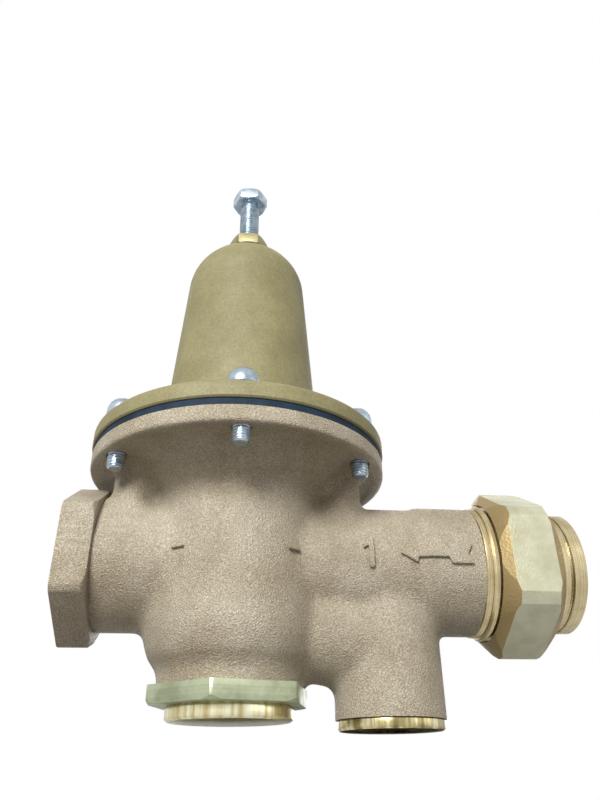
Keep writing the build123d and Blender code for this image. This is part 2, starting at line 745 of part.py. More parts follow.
# Spring button: steel disc that spreads the adjusting screw's push over the spring
with BuildPart() as spring_button:
    turn(valve_plane, band(0, button_plate_radius, button_underside_height, button_top))
    turn(valve_plane, band(0, button_hub_radius, button_top, hub_top))
    dimple_radius = adjusting_screw_radius + passage_clearance
    turn(valve_plane, band(0, dimple_radius, screw_tip_height, hub_top), mode=Mode.SUBTRACT)
spring_button.part.label = "spring_button"
export_step(spring_button.part, "parts/spring_button.step")

# Adjusting screw: hexagon-headed zinc-plated set screw
with BuildPart() as adjusting_screw:
    prism(level(adjusting_head_underside), adjusting_head_across_flats, adjusting_head_height)
    head_circle = corner_radius(adjusting_head_across_flats)
    head_edge = head_circle - adjusting_head_across_flats / 2
    head_top = adjusting_head_underside + adjusting_head_height
    head_outline = [
        (0, adjusting_head_underside),
        (head_circle - head_edge, adjusting_head_underside),
        (head_circle, adjusting_head_underside + head_edge * hex_chamfer_slope),
        (head_circle, head_top - head_edge * hex_chamfer_slope),
        (head_circle - head_edge, head_top),
        (0, head_top),
    ]
    turn(valve_plane, head_outline, mode=Mode.INTERSECT)
    shank_outline = [
        (0, screw_tip_height),
        (adjusting_screw_radius - adjusting_tip_chamfer, screw_tip_height),
        (adjusting_screw_radius, screw_tip_height + adjusting_tip_chamfer),
        (adjusting_screw_radius, adjusting_head_underside),
        (0, adjusting_head_underside),
    ]
    turn(valve_plane, shank_outline)
adjusting_screw.part.label = "adjusting_screw"
export_step(adjusting_screw.part, "parts/adjusting_screw.step")

# Sealing washer: black washer between the crown and the lock nut
with BuildPart() as sealing_washer:
    turn(valve_plane, band(tapped_radius, washer_radius, crown_height, lock_nut_foot))
sealing_washer.part.label = "sealing_washer"
export_step(sealing_washer.part, "parts/sealing_washer.step")

# Lock nut: brass hexagon that holds the adjusting screw where it is set
with BuildPart() as lock_nut:
    prism(level(lock_nut_foot), lock_nut_across_flats, lock_nut_height, turned=lock_nut_turn)
    nut_circle = corner_radius(lock_nut_across_flats)
    nut_edge = nut_circle - lock_nut_across_flats / 2
    lock_nut_top = lock_nut_foot + lock_nut_height
    lock_nut_outline = [
        (0, lock_nut_foot),
        (nut_circle - nut_edge, lock_nut_foot),
        (nut_circle, lock_nut_foot + nut_edge * lock_nut_chamfer_slope),
        (nut_circle, lock_nut_top - nut_edge * lock_nut_chamfer_slope),
        (nut_circle - nut_edge, lock_nut_top),
        (0, lock_nut_top),
    ]
    turn(valve_plane, lock_nut_outline, mode=Mode.INTERSECT)
    turn(valve_plane, band(0, tapped_radius, lock_nut_foot, lock_nut_top), mode=Mode.SUBTRACT)
lock_nut.part.label = "lock_nut"
export_step(lock_nut.part, "parts/lock_nut.step")

# Union nut: brass hexagon, threaded over the spigot, with a shoulder behind the tailpiece
with BuildPart() as union_nut:
    prism(station(nut_near_end), union_nut_across_flats, union_nut_length)
    nut_bore = spigot_radius + turning_clearance
    union_circle = corner_radius(union_nut_across_flats) - union_nut_corner_cut
    union_nut_outline = [
        (0, nut_near_end),
        (nut_bore + union_nut_face_margin, nut_near_end),
        (union_circle, nut_near_end + union_nut_chamfer_length),
        (union_circle, nut_far_end - union_nut_chamfer_length),
        (nut_bore + union_nut_face_margin, nut_far_end),
        (0, nut_far_end),
    ]
    turn(pipe_plane, union_nut_outline, mode=Mode.INTERSECT)
    turn(pipe_plane, band(0, nut_bore, nut_near_end, tail_flange_end), mode=Mode.SUBTRACT)
    nut_hole_radius = tail_ring_radius + nut_hole_clearance
    turn(pipe_plane, band(0, nut_hole_radius, tail_flange_end, nut_far_end), mode=Mode.SUBTRACT)
union_nut.part.label = "union_nut"
export_step(union_nut.part, "parts/union_nut.step")

# Union tailpiece: brass tube with a clamped flange and a threaded outer end
with BuildPart() as union_tailpiece:
    ring_edge = 0.8
    tail_outline = [
        (tail_bore_radius, tail_flange_start),
        (tail_flange_radius, tail_flange_start),
        (tail_flange_radius, tail_flange_end),
        (tail_neck_radius, tail_flange_end),
        (tail_neck_radius, tail_ring_near),
        (tail_ring_radius, tail_ring_near),
        (tail_ring_radius, tail_end - ring_edge),
        (tail_ring_radius - ring_edge, tail_end),
        (port_thread_radius, tail_end),
        (port_thread_radius, tail_end - tail_thread_length),
        (tail_bore_radius, tail_end - tail_thread_length),
    ]
    turn(pipe_plane, tail_outline)
union_tailpiece.part.label = "union_tailpiece"
export_step(union_tailpiece.part, "parts/union_tailpiece.step")

# Union gasket: flat ring squeezed between the spigot and the tailpiece
with BuildPart() as union_gasket:
    gasket_outer = tail_flange_radius - ring_clearance
    turn(pipe_plane, band(gasket_outer - union_gasket_width, gasket_outer, spigot_end, tail_flange_start))
union_gasket.part.label = "union_gasket"
export_step(union_gasket.part, "parts/union_gasket.step")
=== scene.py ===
import bpy
import math
from mathutils import Matrix, Vector


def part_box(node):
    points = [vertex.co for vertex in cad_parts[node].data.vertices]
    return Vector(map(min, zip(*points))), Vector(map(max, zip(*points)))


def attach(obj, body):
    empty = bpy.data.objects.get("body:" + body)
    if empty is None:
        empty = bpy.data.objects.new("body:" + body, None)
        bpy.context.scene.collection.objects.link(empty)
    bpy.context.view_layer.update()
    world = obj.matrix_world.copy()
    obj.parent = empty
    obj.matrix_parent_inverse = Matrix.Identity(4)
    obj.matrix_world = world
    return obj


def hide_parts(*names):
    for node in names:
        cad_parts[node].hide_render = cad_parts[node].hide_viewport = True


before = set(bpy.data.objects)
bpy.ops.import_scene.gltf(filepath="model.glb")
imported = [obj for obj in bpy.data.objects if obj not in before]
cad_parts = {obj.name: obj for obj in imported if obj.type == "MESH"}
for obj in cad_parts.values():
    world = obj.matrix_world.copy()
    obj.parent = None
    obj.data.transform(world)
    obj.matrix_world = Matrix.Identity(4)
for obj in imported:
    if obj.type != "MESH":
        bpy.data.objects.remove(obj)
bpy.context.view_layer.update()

# ---- Body casting -----------------------------------------------------------
# One sand casting in bronze: outlet neck with its spanner hexagon, barrel and
# diaphragm bowl, inlet chamber, belly and strainer tower. The pattern's inside
# corners are filleted, and the faces that carry other parts are machined flat.

body_low, body_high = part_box("valve_body")
plug_ring_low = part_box("bottom_plug_o_ring")[0]
cap_low, cap_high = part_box("strainer_plug")
washer_low, washer_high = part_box("sealing_washer")
valve_x = (washer_low.x + washer_high.x) / 2
tower_x = (cap_low.x + cap_high.x) / 2
inlet_reach = 0.0803
casting_end = valve_x + inlet_reach
spigot_face = casting_end - 0.0032
flange_top = body_high.z
flange_foot = flange_top - 0.0053
flange_radius = 0.0500
barrel_foot = plug_ring_low.z
tower_foot = body_low.z
barrel_radius = 0.0278
neck_radius = 0.0208
chamber_radius = 0.0200
chamber_end = valve_x + 0.0590
tower_radius = 0.0167
belly_radius = 0.0160
boss_radius = 0.0065
screw_circle = 0.0446
port_radius = 0.0168
inlet_bore_radius = 0.0140
machining_stock = 0.003
skin_voxel = 0.0009
fillet_radius = 0.0015
PIPE = (0, math.pi / 2, 0)


def pick(*pieces):
    """Leaves only these pieces selected, with the first one active."""
    bpy.ops.object.select_all(action="DESELECT")
    for piece in pieces:
        piece.select_set(True)
    bpy.context.view_layer.objects.active = pieces[0]


def stand(piece, place, tilt=(0, 0, 0)):
    """Puts a piece made about its own Z axis at its place, with the place in its mesh."""
    pick(piece)
    piece.location = place
    piece.rotation_euler = tilt
    bpy.ops.object.transform_apply(location=True, rotation=True, scale=True)
    return piece


def turned(name, rings, place=(0, 0, 0), tilt=(0, 0, 0), sides=96):
    """A turned piece: a circle extruded from one (radius, height) ring to the next.
    A list that comes back to its first ring makes a hollow piece."""
    bpy.ops.object.select_all(action="DESELECT")
    radius, height = rings[0]
    bpy.ops.mesh.primitive_circle_add(vertices=sides, radius=radius, location=(0, 0, height))
    piece = bpy.context.object
    piece.name = name
    piece.data.name = name
    bpy.ops.object.transform_apply(location=True)
    bpy.ops.object.mode_set(mode="EDIT")
    bpy.ops.mesh.select_all(action="SELECT")
    if rings[0] != rings[-1]:
        bpy.ops.mesh.edge_face_add()
    for next_radius, next_height in rings[1:]:
        bpy.ops.mesh.extrude_region_move()
        if next_height != height:
            bpy.ops.transform.translate(value=(0, 0, next_height - height))
        if next_radius != radius:
            grow = next_radius / radius
            bpy.ops.transform.resize(value=(grow, grow, 1), center_override=(0, 0, next_height))
        radius, height = next_radius, next_height
    bpy.ops.mesh.select_all(action="SELECT")
    bpy.ops.mesh.remove_doubles(threshold=1e-7)
    bpy.ops.mesh.normals_make_consistent(inside=False)
    bpy.ops.object.mode_set(mode="OBJECT")
    return stand(piece, place, tilt)


def hexagon(name, across_flats, length, place, tilt=(0, 0, 0), turn=0.0):
    """A hexagonal bar with its foot at a place. Unturned, two corners face +Y and -Y."""
    bpy.ops.object.select_all(action="DESELECT")
    bpy.ops.mesh.primitive_cylinder_add(
        vertices=6, radius=across_flats / math.sqrt(3), depth=length,
        location=(0, 0, length / 2), rotation=(0, 0, turn))
    piece = bpy.context.object
    piece.name = name
    piece.data.name = name
    bpy.ops.object.transform_apply(location=True, rotation=True)
    return stand(piece, place, tilt)


def finish_with(piece, kind, **settings):
    """Adds one modifier to a piece, sets it and applies it."""
    pick(piece)
    modifier = piece.modifiers.new(kind.title(), kind)
    for setting, value in settings.items():
        setattr(modifier, setting, value)
    bpy.ops.object.modifier_apply(modifier=modifier.name)
    return piece


def combine(piece, other, operation):
    """Joins, cuts or intersects a piece with another solid, which is used up."""
    finish_with(piece, "BOOLEAN", object=other, operation=operation, solver="EXACT")
    bpy.data.objects.remove(other, do_unlink=True)
    return piece


def ease(piece, width, segments=2, angle=32):
    """Breaks a machined piece's sharp edges, and shades it smooth between them."""
    finish_with(piece, "BEVEL", width=width, segments=segments, limit_method="ANGLE",
                angle_limit=math.radians(angle), harden_normals=False)
    pick(piece)
    bpy.ops.object.shade_smooth_by_angle(angle=math.radians(angle))
    return piece


def screw_place(number):
    """The place of one of the six bonnet screws, counted from the front one."""
    angle = math.radians(-90 + 60 * number)
    return (valve_x + screw_circle * math.cos(angle), screw_circle * math.sin(angle), 0)


# Rough outside of the casting, with stock left where faces are machined
hub = (valve_x, 0, 0)
lip_inside = flange_radius - 0.0060
rough = turned("valve_casting", [
    (0.0219, barrel_foot - machining_stock), (0.0220, barrel_foot), (0.0224, -0.0330), (0.0233, -0.0312),
    (0.0252, -0.0292), (0.0264, -0.0262), (0.0273, -0.0232), (barrel_radius, -0.0190),
    (barrel_radius, 0.0195), (0.0400, flange_foot + 0.0002), (0.0470, flange_foot + 0.0008),
    (0.0490, flange_foot + 0.0020), (0.0490, flange_top + machining_stock)], hub)
outlet_flats = 0.0448
outlet_hexagon_end = 0.0101
outlet_corner_radius = 0.0253
outlet_hexagon = hexagon("outlet_hexagon", outlet_flats, outlet_hexagon_end + machining_stock,
                         (-machining_stock, 0, 0), PIPE, turn=math.pi / 6)
combine(outlet_hexagon, turned("hexagon_turning", [
    (0.0225, -0.004), (outlet_corner_radius, 0.0), (outlet_corner_radius, 0.0090), (0.0225, 0.0110)],
    (0, 0, 0), PIPE), "INTERSECT")
ease(outlet_hexagon, 0.0005, angle=20)
flange_lip = ease(turned("flange_lip", [
    (lip_inside, flange_foot + 0.0012), (0.0470, flange_foot), (0.0488, flange_foot),
    (0.0497, flange_foot + 0.0005), (flange_radius, flange_foot + 0.0013),
    (flange_radius, flange_top + 0.001), (lip_inside, flange_top + 0.001),
    (lip_inside, flange_foot + 0.0012)], hub, sides=160), 0.0003, angle=20)
outlet_neck = turned("outlet_neck", [(neck_radius, 0.003), (neck_radius, valve_x)], (0, 0, 0), PIPE)
inlet_neck = turned("inlet_neck", [
    (chamber_radius, valve_x), (chamber_radius, chamber_end), (neck_radius, chamber_end),
    (neck_radius, casting_end + machining_stock)], (0, 0, 0), PIPE)
tower = turned("strainer_tower", [
    (tower_radius, tower_foot - machining_stock), (tower_radius, 0)], (tower_x, 0, 0))
belly_start = Vector((valve_x, 0, -0.0148))
belly_end = Vector((tower_x, 0, -0.0228))
belly_tilt = (belly_end - belly_start).to_track_quat("Z", "Y").to_euler()
belly_length = (belly_end - belly_start).length
belly = turned("belly", [
    (belly_radius, 0), (belly_radius, belly_length),
    (belly_radius * 0.92, belly_length + belly_radius * 0.38),
    (belly_radius * 0.71, belly_length + belly_radius * 0.71),
    (belly_radius * 0.38, belly_length + belly_radius * 0.92),
    (belly_radius * 0.05, belly_length + belly_radius)], belly_start, belly_tilt)
bosses = []
for side in (-0.0339, 0.0339):
    for front in (-0.010, 0.010):
        bosses.append(turned("boss", [(boss_radius, 0), (boss_radius, flange_foot + 0.001)],
                             (valve_x + side, front, 0), sides=48))
pick(rough, outlet_neck, inlet_neck, tower, belly, *bosses)
bpy.ops.object.join()
casting = bpy.context.object
finish_with(casting, "REMESH", mode="VOXEL", voxel_size=skin_voxel)
finish_with(casting, "DISPLACE", strength=fillet_radius, mid_level=0)
finish_with(casting, "REMESH", mode="VOXEL", voxel_size=skin_voxel)
finish_with(casting, "DISPLACE", strength=-fillet_radius, mid_level=0)
finish_with(casting, "REMESH", mode="VOXEL", voxel_size=skin_voxel)
finish_with(casting, "SMOOTH", factor=0.5, iterations=3)

# A copy of the skin, raised, tells how far the cast marks stand out. The spanner
# hexagon and the flange's lip join after the fillets, so their edges stay crisp.
pick(casting)
bpy.ops.object.duplicate(linked=False)
mark_skin = bpy.context.object
finish_with(mark_skin, "DISPLACE", strength=0.0011, mid_level=0)
combine(casting, outlet_hexagon, "UNION")
combine(casting, flange_lip, "UNION")

# Machining: flat faces, chambers, ports and tapped holes, all cut in one pass
cutter = turned("machining", [
    (0.0530, flange_top), (0.0530, flange_top + 0.008)], hub)
for name, rings, place, tilt in (
    ("barrel_facing", [(0.0290, barrel_foot - 0.006), (0.0290, barrel_foot)], hub, (0, 0, 0)),
    ("tower_facing", [(0.0200, tower_foot - 0.006), (0.0200, tower_foot)], (tower_x, 0, 0), (0, 0, 0)),
    ("outlet_facing", [(0.0300, -0.008), (0.0300, 0)], (0, 0, 0), PIPE),
    ("inlet_facing", [(0.0260, spigot_face), (0.0260, casting_end + 0.008)], (0, 0, 0), PIPE),
    ("upper_chamber", [(0.0230, -0.007), (0.0230, 0.019), (0.0370, flange_top - 0.002),
                       (0.0370, flange_top + 0.004)], hub, (0, 0, 0)),
    ("seat_hole", [(0.01205, -0.013), (0.01205, -0.006)], hub, (0, 0, 0)),
    ("lower_chamber", [(0.01895, barrel_foot - 0.004), (0.01895, barrel_foot + 0.00195),
                       (0.0170, barrel_foot + 0.00195), (0.0170, -0.012)], hub, (0, 0, 0)),
    ("outlet_port", [(port_radius, -0.005), (port_radius, 0.017), (0.0115, 0.0171), (0.0115, valve_x)],
     (0, 0, 0), PIPE),
    ("inlet_bore", [(0.0002, tower_x - 0.0139), (0.0070, tower_x - 0.0121), (0.0121, tower_x - 0.0070),
                    (inlet_bore_radius, tower_x), (inlet_bore_radius, casting_end + 0.004)], (0, 0, 0), PIPE),
    ("strainer_chamber", [(0.01445, tower_foot - 0.004), (0.01445, tower_foot + 0.00125),
                          (0.0132, tower_foot + 0.00125), (0.0132, -0.017), (0.0113, -0.0169),
                          (0.0113, -0.0155), (0.0099, -0.0154), (0.0099, 0.0)], (tower_x, 0, 0), (0, 0, 0)),
    ("cross_passage", [(0.0075, valve_x), (0.0075, tower_x - 0.011)], (0, 0, -0.0223), PIPE),
):
    combine(cutter, turned(name, rings, place, tilt, sides=64), "UNION")
for number in range(6):
    hole = turned("tapped_hole", [
        (0.0034, flange_foot - 0.004), (0.0034, flange_foot + 0.0003), (0.0028, flange_foot + 0.0009),
        (0.0028, flange_top + 0.004)], screw_place(number), sides=32)
    combine(cutter, hole, "UNION")
combine(casting, cutter, "DIFFERENCE")
pick(casting)
bpy.ops.object.shade_smooth_by_angle(angle=math.radians(38))
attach(casting, "valve")
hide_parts("valve_body")


def node(material, kind, **values):
    """Adds a node to a material or a group, and sets its inputs and settings by name."""
    tree = getattr(material, "node_tree", material)
    made = tree.nodes.new(kind)
    for name, value in values.items():
        title = name.replace("_", " ")
        if title in made.inputs:
            made.inputs[title].default_value = value
        else:
            setattr(made, name, value)
    return made


def wire(material, source, target):
    """Links an output socket to an input socket."""
    getattr(material, "node_tree", material).links.new(source, target)


def ramp(material, source, *stops):
    """A colour ramp on a mask, from (position, colour) stops."""
    made = node(material, "ShaderNodeValToRGB")
    points = made.color_ramp.elements
    for point, (position, colour) in ((points[0], stops[0]), (points[1], stops[-1])):
        point.position = position
        point.color = (*colour, 1)
    for position, colour in stops[1:-1]:
        points.new(position).color = (*colour, 1)
    wire(material, source, made.inputs["Fac"])
    return made.outputs["Color"]


def finish(name, **values):
    """A new material with one Principled shader, and its constant values on its sockets."""
    made = bpy.data.materials.new(name)
    made.use_nodes = True
    for title, value in values.items():
        made.node_tree.nodes["Principled BSDF"].inputs[title.replace("_", " ")].default_value = value
    return made


def shader(material):
    """A material's Principled shader."""
    return material.node_tree.nodes["Principled BSDF"]


def coat_with(piece, material):
    """Gives a piece, new or carried over from the frame, this material in every slot."""
    if not piece.material_slots:
        piece.data.materials.append(material)
    for place in piece.material_slots:
        place.material = material


# Shared effect: the pits and grains of a metal surface, as two masks and a height
grain = bpy.data.node_groups.new("metal_grain", "ShaderNodeTree")
for socket, default in (("Grain Scale", 1200.0), ("Patch Scale", 70.0)):
    grain.interface.new_socket(socket, in_out="INPUT", socket_type="NodeSocketFloat").default_value = default
for socket in ("Grain", "Patches", "Height"):
    grain.interface.new_socket(socket, in_out="OUTPUT", socket_type="NodeSocketFloat")
grain_in = node(grain, "NodeGroupInput")
grain_out = node(grain, "NodeGroupOutput")
grain_place = node(grain, "ShaderNodeTexCoord").outputs["Object"]
fine = node(grain, "ShaderNodeTexNoise", Detail=3.0, Roughness=0.65)
patch = node(grain, "ShaderNodeTexNoise", Detail=4.0, Roughness=0.6)
cells = node(grain, "ShaderNodeTexVoronoi", feature="F1")
for texture, socket in ((fine, "Grain Scale"), (patch, "Patch Scale"), (cells, "Grain Scale")):
    wire(grain, grain_place, texture.inputs["Vector"])
    wire(grain, grain_in.outputs[socket], texture.inputs["Scale"])
height = node(grain, "ShaderNodeMath", operation="MULTIPLY_ADD")
height.inputs[1].default_value = 0.6
wire(grain, cells.outputs["Distance"], height.inputs[0])
wire(grain, fine.outputs["Fac"], height.inputs[2])
wire(grain, fine.outputs["Fac"], grain_out.inputs["Grain"])
wire(grain, patch.outputs["Fac"], grain_out.inputs["Patches"])
wire(grain, height.outputs["Value"], grain_out.inputs["Height"])


def grained(material, grain_scale, patch_scale, depth, strength=1.0):
    """Places the grain group in a material, with its height on the shader's normal."""
    group = node(material, "ShaderNodeGroup")
    group.node_tree = grain
    group.inputs["Grain Scale"].default_value = grain_scale
    group.inputs["Patch Scale"].default_value = patch_scale
    bump = node(material, "ShaderNodeBump", Strength=strength, Distance=depth)
    wire(material, group.outputs["Height"], bump.inputs["Height"])
    wire(material, bump.outputs["Normal"], shader(material).inputs["Normal"])
    return group


def mixed(material, mask, first, second, blend_type="MIX"):
    """Mixes two colours or colour sockets by a mask."""
    mix = node(material, "ShaderNodeMix", data_type="RGBA", blend_type=blend_type)
    if hasattr(mask, "node"):
        wire(material, mask, mix.inputs[0])
    else:
        mix.inputs[0].default_value = mask
    for value, socket in ((first, mix.inputs[6]), (second, mix.inputs[7])):
        if hasattr(value, "node"):
            wire(material, value, socket)
        else:
            socket.default_value = (*value, 1)
    return mix.outputs[2]


cast_bronze = finish("cast_bronze", Metallic=0.15, Roughness=0.55, Specular_IOR_Level=0.35)
skin = grained(cast_bronze, 2200, 45, 0.00034, 1.0)
cast_patches = ramp(cast_bronze, skin.outputs["Patches"],
                    (0.34, (0.300, 0.250, 0.175)), (0.50, (0.360, 0.312, 0.230)),
                    (0.66, (0.420, 0.372, 0.285)))
# Speckle in the colour: partly the casting's own grain, partly painted glints for the sparkle of its rough
# skin.
cast_grain_and_glint = ramp(cast_bronze, skin.outputs["Grain"],
                    (0.34, (0.74, 0.71, 0.67)), (0.52, (1.0, 1.0, 1.0)), (0.66, (1.38, 1.40, 1.42)))
wire(cast_bronze, mixed(cast_bronze, 1.0, cast_patches, cast_grain_and_glint, "MULTIPLY"),
     shader(cast_bronze).inputs["Base Color"])
cast_roughness = node(cast_bronze, "ShaderNodeMapRange", From_Min=0.35, From_Max=0.65,
                      To_Min=0.70, To_Max=0.42)
wire(cast_bronze, skin.outputs["Grain"], cast_roughness.inputs["Value"])
wire(cast_bronze, cast_roughness.outputs["Result"], shader(cast_bronze).inputs["Roughness"])
coat_with(casting, cast_bronze)

# ---- Cast marks -------------------------------------------------------------
# A flow arrow, the nominal pipe size and two short pattern marks stand proud of
# the casting's skin. They are cast with it, from letters fixed to the pattern.

barb = 0.0030
shaft = 0.0012
tail = 0.0031
arrow_outline = [
    (0.1047, 0), (0.1103, barb), (0.1103, shaft), (0.1198, shaft), (0.1207, tail), (0.1277, tail),
    (0.1259, 0), (0.1277, -tail), (0.1207, -tail), (0.1198, -shaft), (0.1103, -shaft), (0.1103, -barb)]
figure_outline = [
    (0.0945, -0.0046), (0.0962, -0.0046), (0.0962, 0.0047), (0.0948, 0.0047), (0.0928, 0.0027),
    (0.0928, 0.0011), (0.0945, 0.0024)]
dash_outline = [(-0.0018, -0.0005), (0.0018, -0.0005), (0.0018, 0.0005), (-0.0018, 0.0005)]
dash_side = 0.0175


def cast_mark(name, outline, shift, front, back):
    """A mark cut from an outline, standing as far out as the raised copy of the skin."""
    bpy.ops.object.select_all(action="DESELECT")
    bpy.ops.mesh.primitive_circle_add(vertices=len(outline), radius=0.01, fill_type="NGON")
    mark = bpy.context.object
    mark.name = name
    mark.data.name = name
    for corner, (x, z) in zip(mark.data.vertices, outline):
        corner.co = (x + shift, front, z)
    bpy.ops.object.mode_set(mode="EDIT")
    bpy.ops.mesh.select_all(action="SELECT")
    bpy.ops.mesh.extrude_region_move()
    bpy.ops.transform.translate(value=(0, back - front, 0))
    bpy.ops.mesh.select_all(action="SELECT")
    bpy.ops.mesh.normals_make_consistent(inside=False)
    bpy.ops.object.mode_set(mode="OBJECT")
    finish_with(mark, "BOOLEAN", object=mark_skin, operation="INTERSECT", solver="EXACT")
    finish_with(mark, "REMESH", mode="VOXEL", voxel_size=0.00022)
    finish_with(mark, "SMOOTH", factor=0.5, iterations=12)
    pick(mark)
    bpy.ops.object.shade_smooth()
    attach(mark, "valve")
    coat_with(mark, cast_bronze)


cast_mark("flow_arrow", arrow_outline, -0.0017, -0.026, -0.0180)
cast_mark("size_figure", figure_outline, -0.0012, -0.026, -0.0180)
cast_mark("pattern_mark_left", dash_outline, valve_x - dash_side, -0.032, -0.0190)
cast_mark("pattern_mark_right", dash_outline, valve_x + dash_side, -0.032, -0.0190)
bpy.data.objects.remove(mark_skin, do_unlink=True)

# ---- Machined ends of the body ----------------------------------------------
# The union spigot is turned on the casting's inlet end, with a collar, a relief
# groove and a thread. The outlet port is tapped with a pipe thread.

spigot_end = casting_end + 0.0097
collar_start = casting_end - 0.0034
thread_crest = 0.0220
port_thread_end = 0.0166


def thread(crest, root, start, end, pitch):
    """Rings of a thread's crests and roots between two heights."""
    rings = [(root, start)]
    for number in range(int((end - start) / pitch)):
        foot = start + number * pitch
        rings += [(root, foot + 0.15 * pitch), (crest, foot + 0.45 * pitch),
                  (crest, foot + 0.6 * pitch), (root, foot + 0.9 * pitch)]
    return rings + [(root, end)]


def smooth(piece, angle=25):
    """Shades a piece smooth, except at its sharp edges."""
    pick(piece)
    bpy.ops.object.shade_smooth_by_angle(angle=math.radians(angle))
    return piece


spigot = smooth(turned("union_spigot", [
    (inlet_bore_radius, collar_start), (0.0206, collar_start), (0.0211, casting_end - 0.0030),
    (0.0213, casting_end - 0.0022), (0.0213, casting_end - 0.0016), (0.0211, casting_end - 0.0015),
    (0.0211, casting_end - 0.0012), (0.0215, casting_end - 0.0011), (thread_crest, casting_end - 0.0004),
    (thread_crest, casting_end + 0.0006), (0.0212, casting_end + 0.0007), (0.0212, casting_end + 0.0016),
    *thread(thread_crest, 0.0210, casting_end + 0.0017, spigot_end - 0.0006, 0.0014),
    (0.0207, spigot_end), (inlet_bore_radius, spigot_end), (inlet_bore_radius, collar_start)],
    (0, 0, 0), PIPE, sides=128))
port_thread = smooth(turned("outlet_port_thread", [
    (0.0170, 0.0002), (0.0165, 0.0002), (0.0152, 0.0014),
    *thread(0.01515, 0.0163, 0.0015, port_thread_end, 0.0022),
    (0.0152, 0.0168), (0.0170, 0.0168), (0.0170, 0.0002)], (0, 0, 0), PIPE, sides=128))


def brass(name, axis, roughness, dull, bright, depth=0.00005, line_spacing=2600, lines=0.2):
    """Turned brass: blotches from a dull to a bright colour, crossed by fine tool lines."""
    made = finish(name, Metallic=1.0, Roughness=roughness)
    skin = grained(made, 2600, 95, depth, 0.35)
    place = node(made, "ShaderNodeTexCoord")
    split = node(made, "ShaderNodeSeparateXYZ")
    wire(made, place.outputs["Object"], split.inputs["Vector"])
    tool = node(made, "ShaderNodeTexNoise", noise_dimensions="1D", Scale=line_spacing, Detail=2.0)
    wire(made, split.outputs[axis], tool.inputs["W"])
    tarnish = ramp(made, skin.outputs["Patches"], (0.36, dull), (0.62, bright))
    streak = ramp(made, tool.outputs["Fac"], (0.38, (1 - lines,) * 3), (0.62, (1 + lines * 0.4,) * 3))
    wire(made, mixed(made, 1.0, tarnish, streak, "MULTIPLY"), shader(made).inputs["Base Color"])
    gloss = node(made, "ShaderNodeMapRange", From_Min=0.35, From_Max=0.65,
                 To_Min=roughness * 1.35, To_Max=roughness * 0.8)
    wire(made, skin.outputs["Patches"], gloss.inputs["Value"])
    wire(made, gloss.outputs["Result"], shader(made).inputs["Roughness"])
    return made


pipe_brass = brass("turned_brass_pipe", "X", 0.26, (0.40, 0.31, 0.16), (0.62, 0.53, 0.32))
for piece in (spigot, port_thread):
    coat_with(piece, pipe_brass)
    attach(piece, "valve")
    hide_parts("valve_body")

# ---- Seat, stem and disc ----------------------------------------------------
# Inside the body: a brass seat ring screwed up into the web, and a brass stem
# with a rubber disc in a cup and a nut. They keep their plain turned shapes.

upright_brass = brass("turned_brass_upright", "Z", 0.28, (0.40, 0.32, 0.18), (0.60, 0.52, 0.33))
for name in ("seat_ring", "stem", "disc_holder", "disc_nut", "diaphragm_support", "stem_nut"):
    coat_with(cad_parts[name], upright_brass)

# ---- Gaskets and rubber -----------------------------------------------------
# Pressed fibre gaskets under the seat and in the union, moulded rubber sealing
# rings, and the diaphragm with its slip ring, cut from fabric-backed sheet.


def rubber(name, dark, pale, roughness, grain_scale, depth):
    """A dull sheet or moulding: two colours in blotches, with a fine skin."""
    made = finish(name, Metallic=0.0, Roughness=roughness, Specular_IOR_Level=0.25)
    skin = grained(made, grain_scale, 160, depth, 0.5)
    tone = ramp(made, skin.outputs["Patches"], (0.35, dark), (0.65, pale))
    wire(made, tone, shader(made).inputs["Base Color"])
    return made


fibre = rubber("pressed_fibre", (0.30, 0.23, 0.15), (0.46, 0.37, 0.26), 0.8, 2200, 0.0001)
black_rubber = rubber("moulded_rubber", (0.018, 0.018, 0.020), (0.045, 0.045, 0.048), 0.55, 1800, 0.00006)
sheet_rubber = rubber("diaphragm_sheet", (0.004, 0.011, 0.022), (0.010, 0.028, 0.050), 0.75, 2400, 0.00008)
for name in ("seat_gasket", "union_gasket"):
    coat_with(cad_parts[name], fibre)
for name in ("valve_disc", "bottom_plug_o_ring", "strainer_plug_o_ring", "sealing_washer"):
    coat_with(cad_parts[name], black_rubber)
for name in ("diaphragm", "diaphragm_slip_ring"):
    coat_with(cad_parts[name], sheet_rubber)

# ---- Bottom plug ------------------------------------------------------------
# A brass plug screwed up into the barrel: a chamfered hexagon, dulled by handling,
# with a bright turned boss under it, and a hollow spigot that guides the stem's tail.

plug_low, plug_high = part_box("bottom_plug")
hexagon_foot = plug_low.z + 0.0042
plug_flats = 0.0439
plug_hexagon_height = 0.0052
boss_edge = 0.0187
bottom_plug = hexagon("bottom_plug_hexagon", plug_flats, plug_hexagon_height, (valve_x, 0, hexagon_foot),
                      turn=math.radians(-12))
combine(bottom_plug, turned("plug_turning", [
    (0.0237, hexagon_foot - 0.0001), (0.0251, hexagon_foot + 0.0010), (0.0251, hexagon_foot + 0.0060)], hub),
    "INTERSECT")
combine(bottom_plug, turned("plug_spigot", [
    (0.0166, barrel_foot - 0.001), (0.0166, barrel_foot + 0.0006), (0.01695, barrel_foot + 0.0010),
    (0.01695, plug_high.z - 0.0004), (0.0165, plug_high.z)], hub), "UNION")
combine(bottom_plug, turned("plug_well", [
    (0.00605, barrel_foot), (0.0125, barrel_foot), (0.0125, plug_high.z + 0.001),
    (0.00605, plug_high.z + 0.001), (0.00605, barrel_foot)], hub), "DIFFERENCE")
combine(bottom_plug, turned("plug_guide", [
    (0.00305, hexagon_foot + 0.001), (0.00305, plug_high.z + 0.001)], hub, sides=48), "DIFFERENCE")
ease(bottom_plug, 0.00022, angle=20)
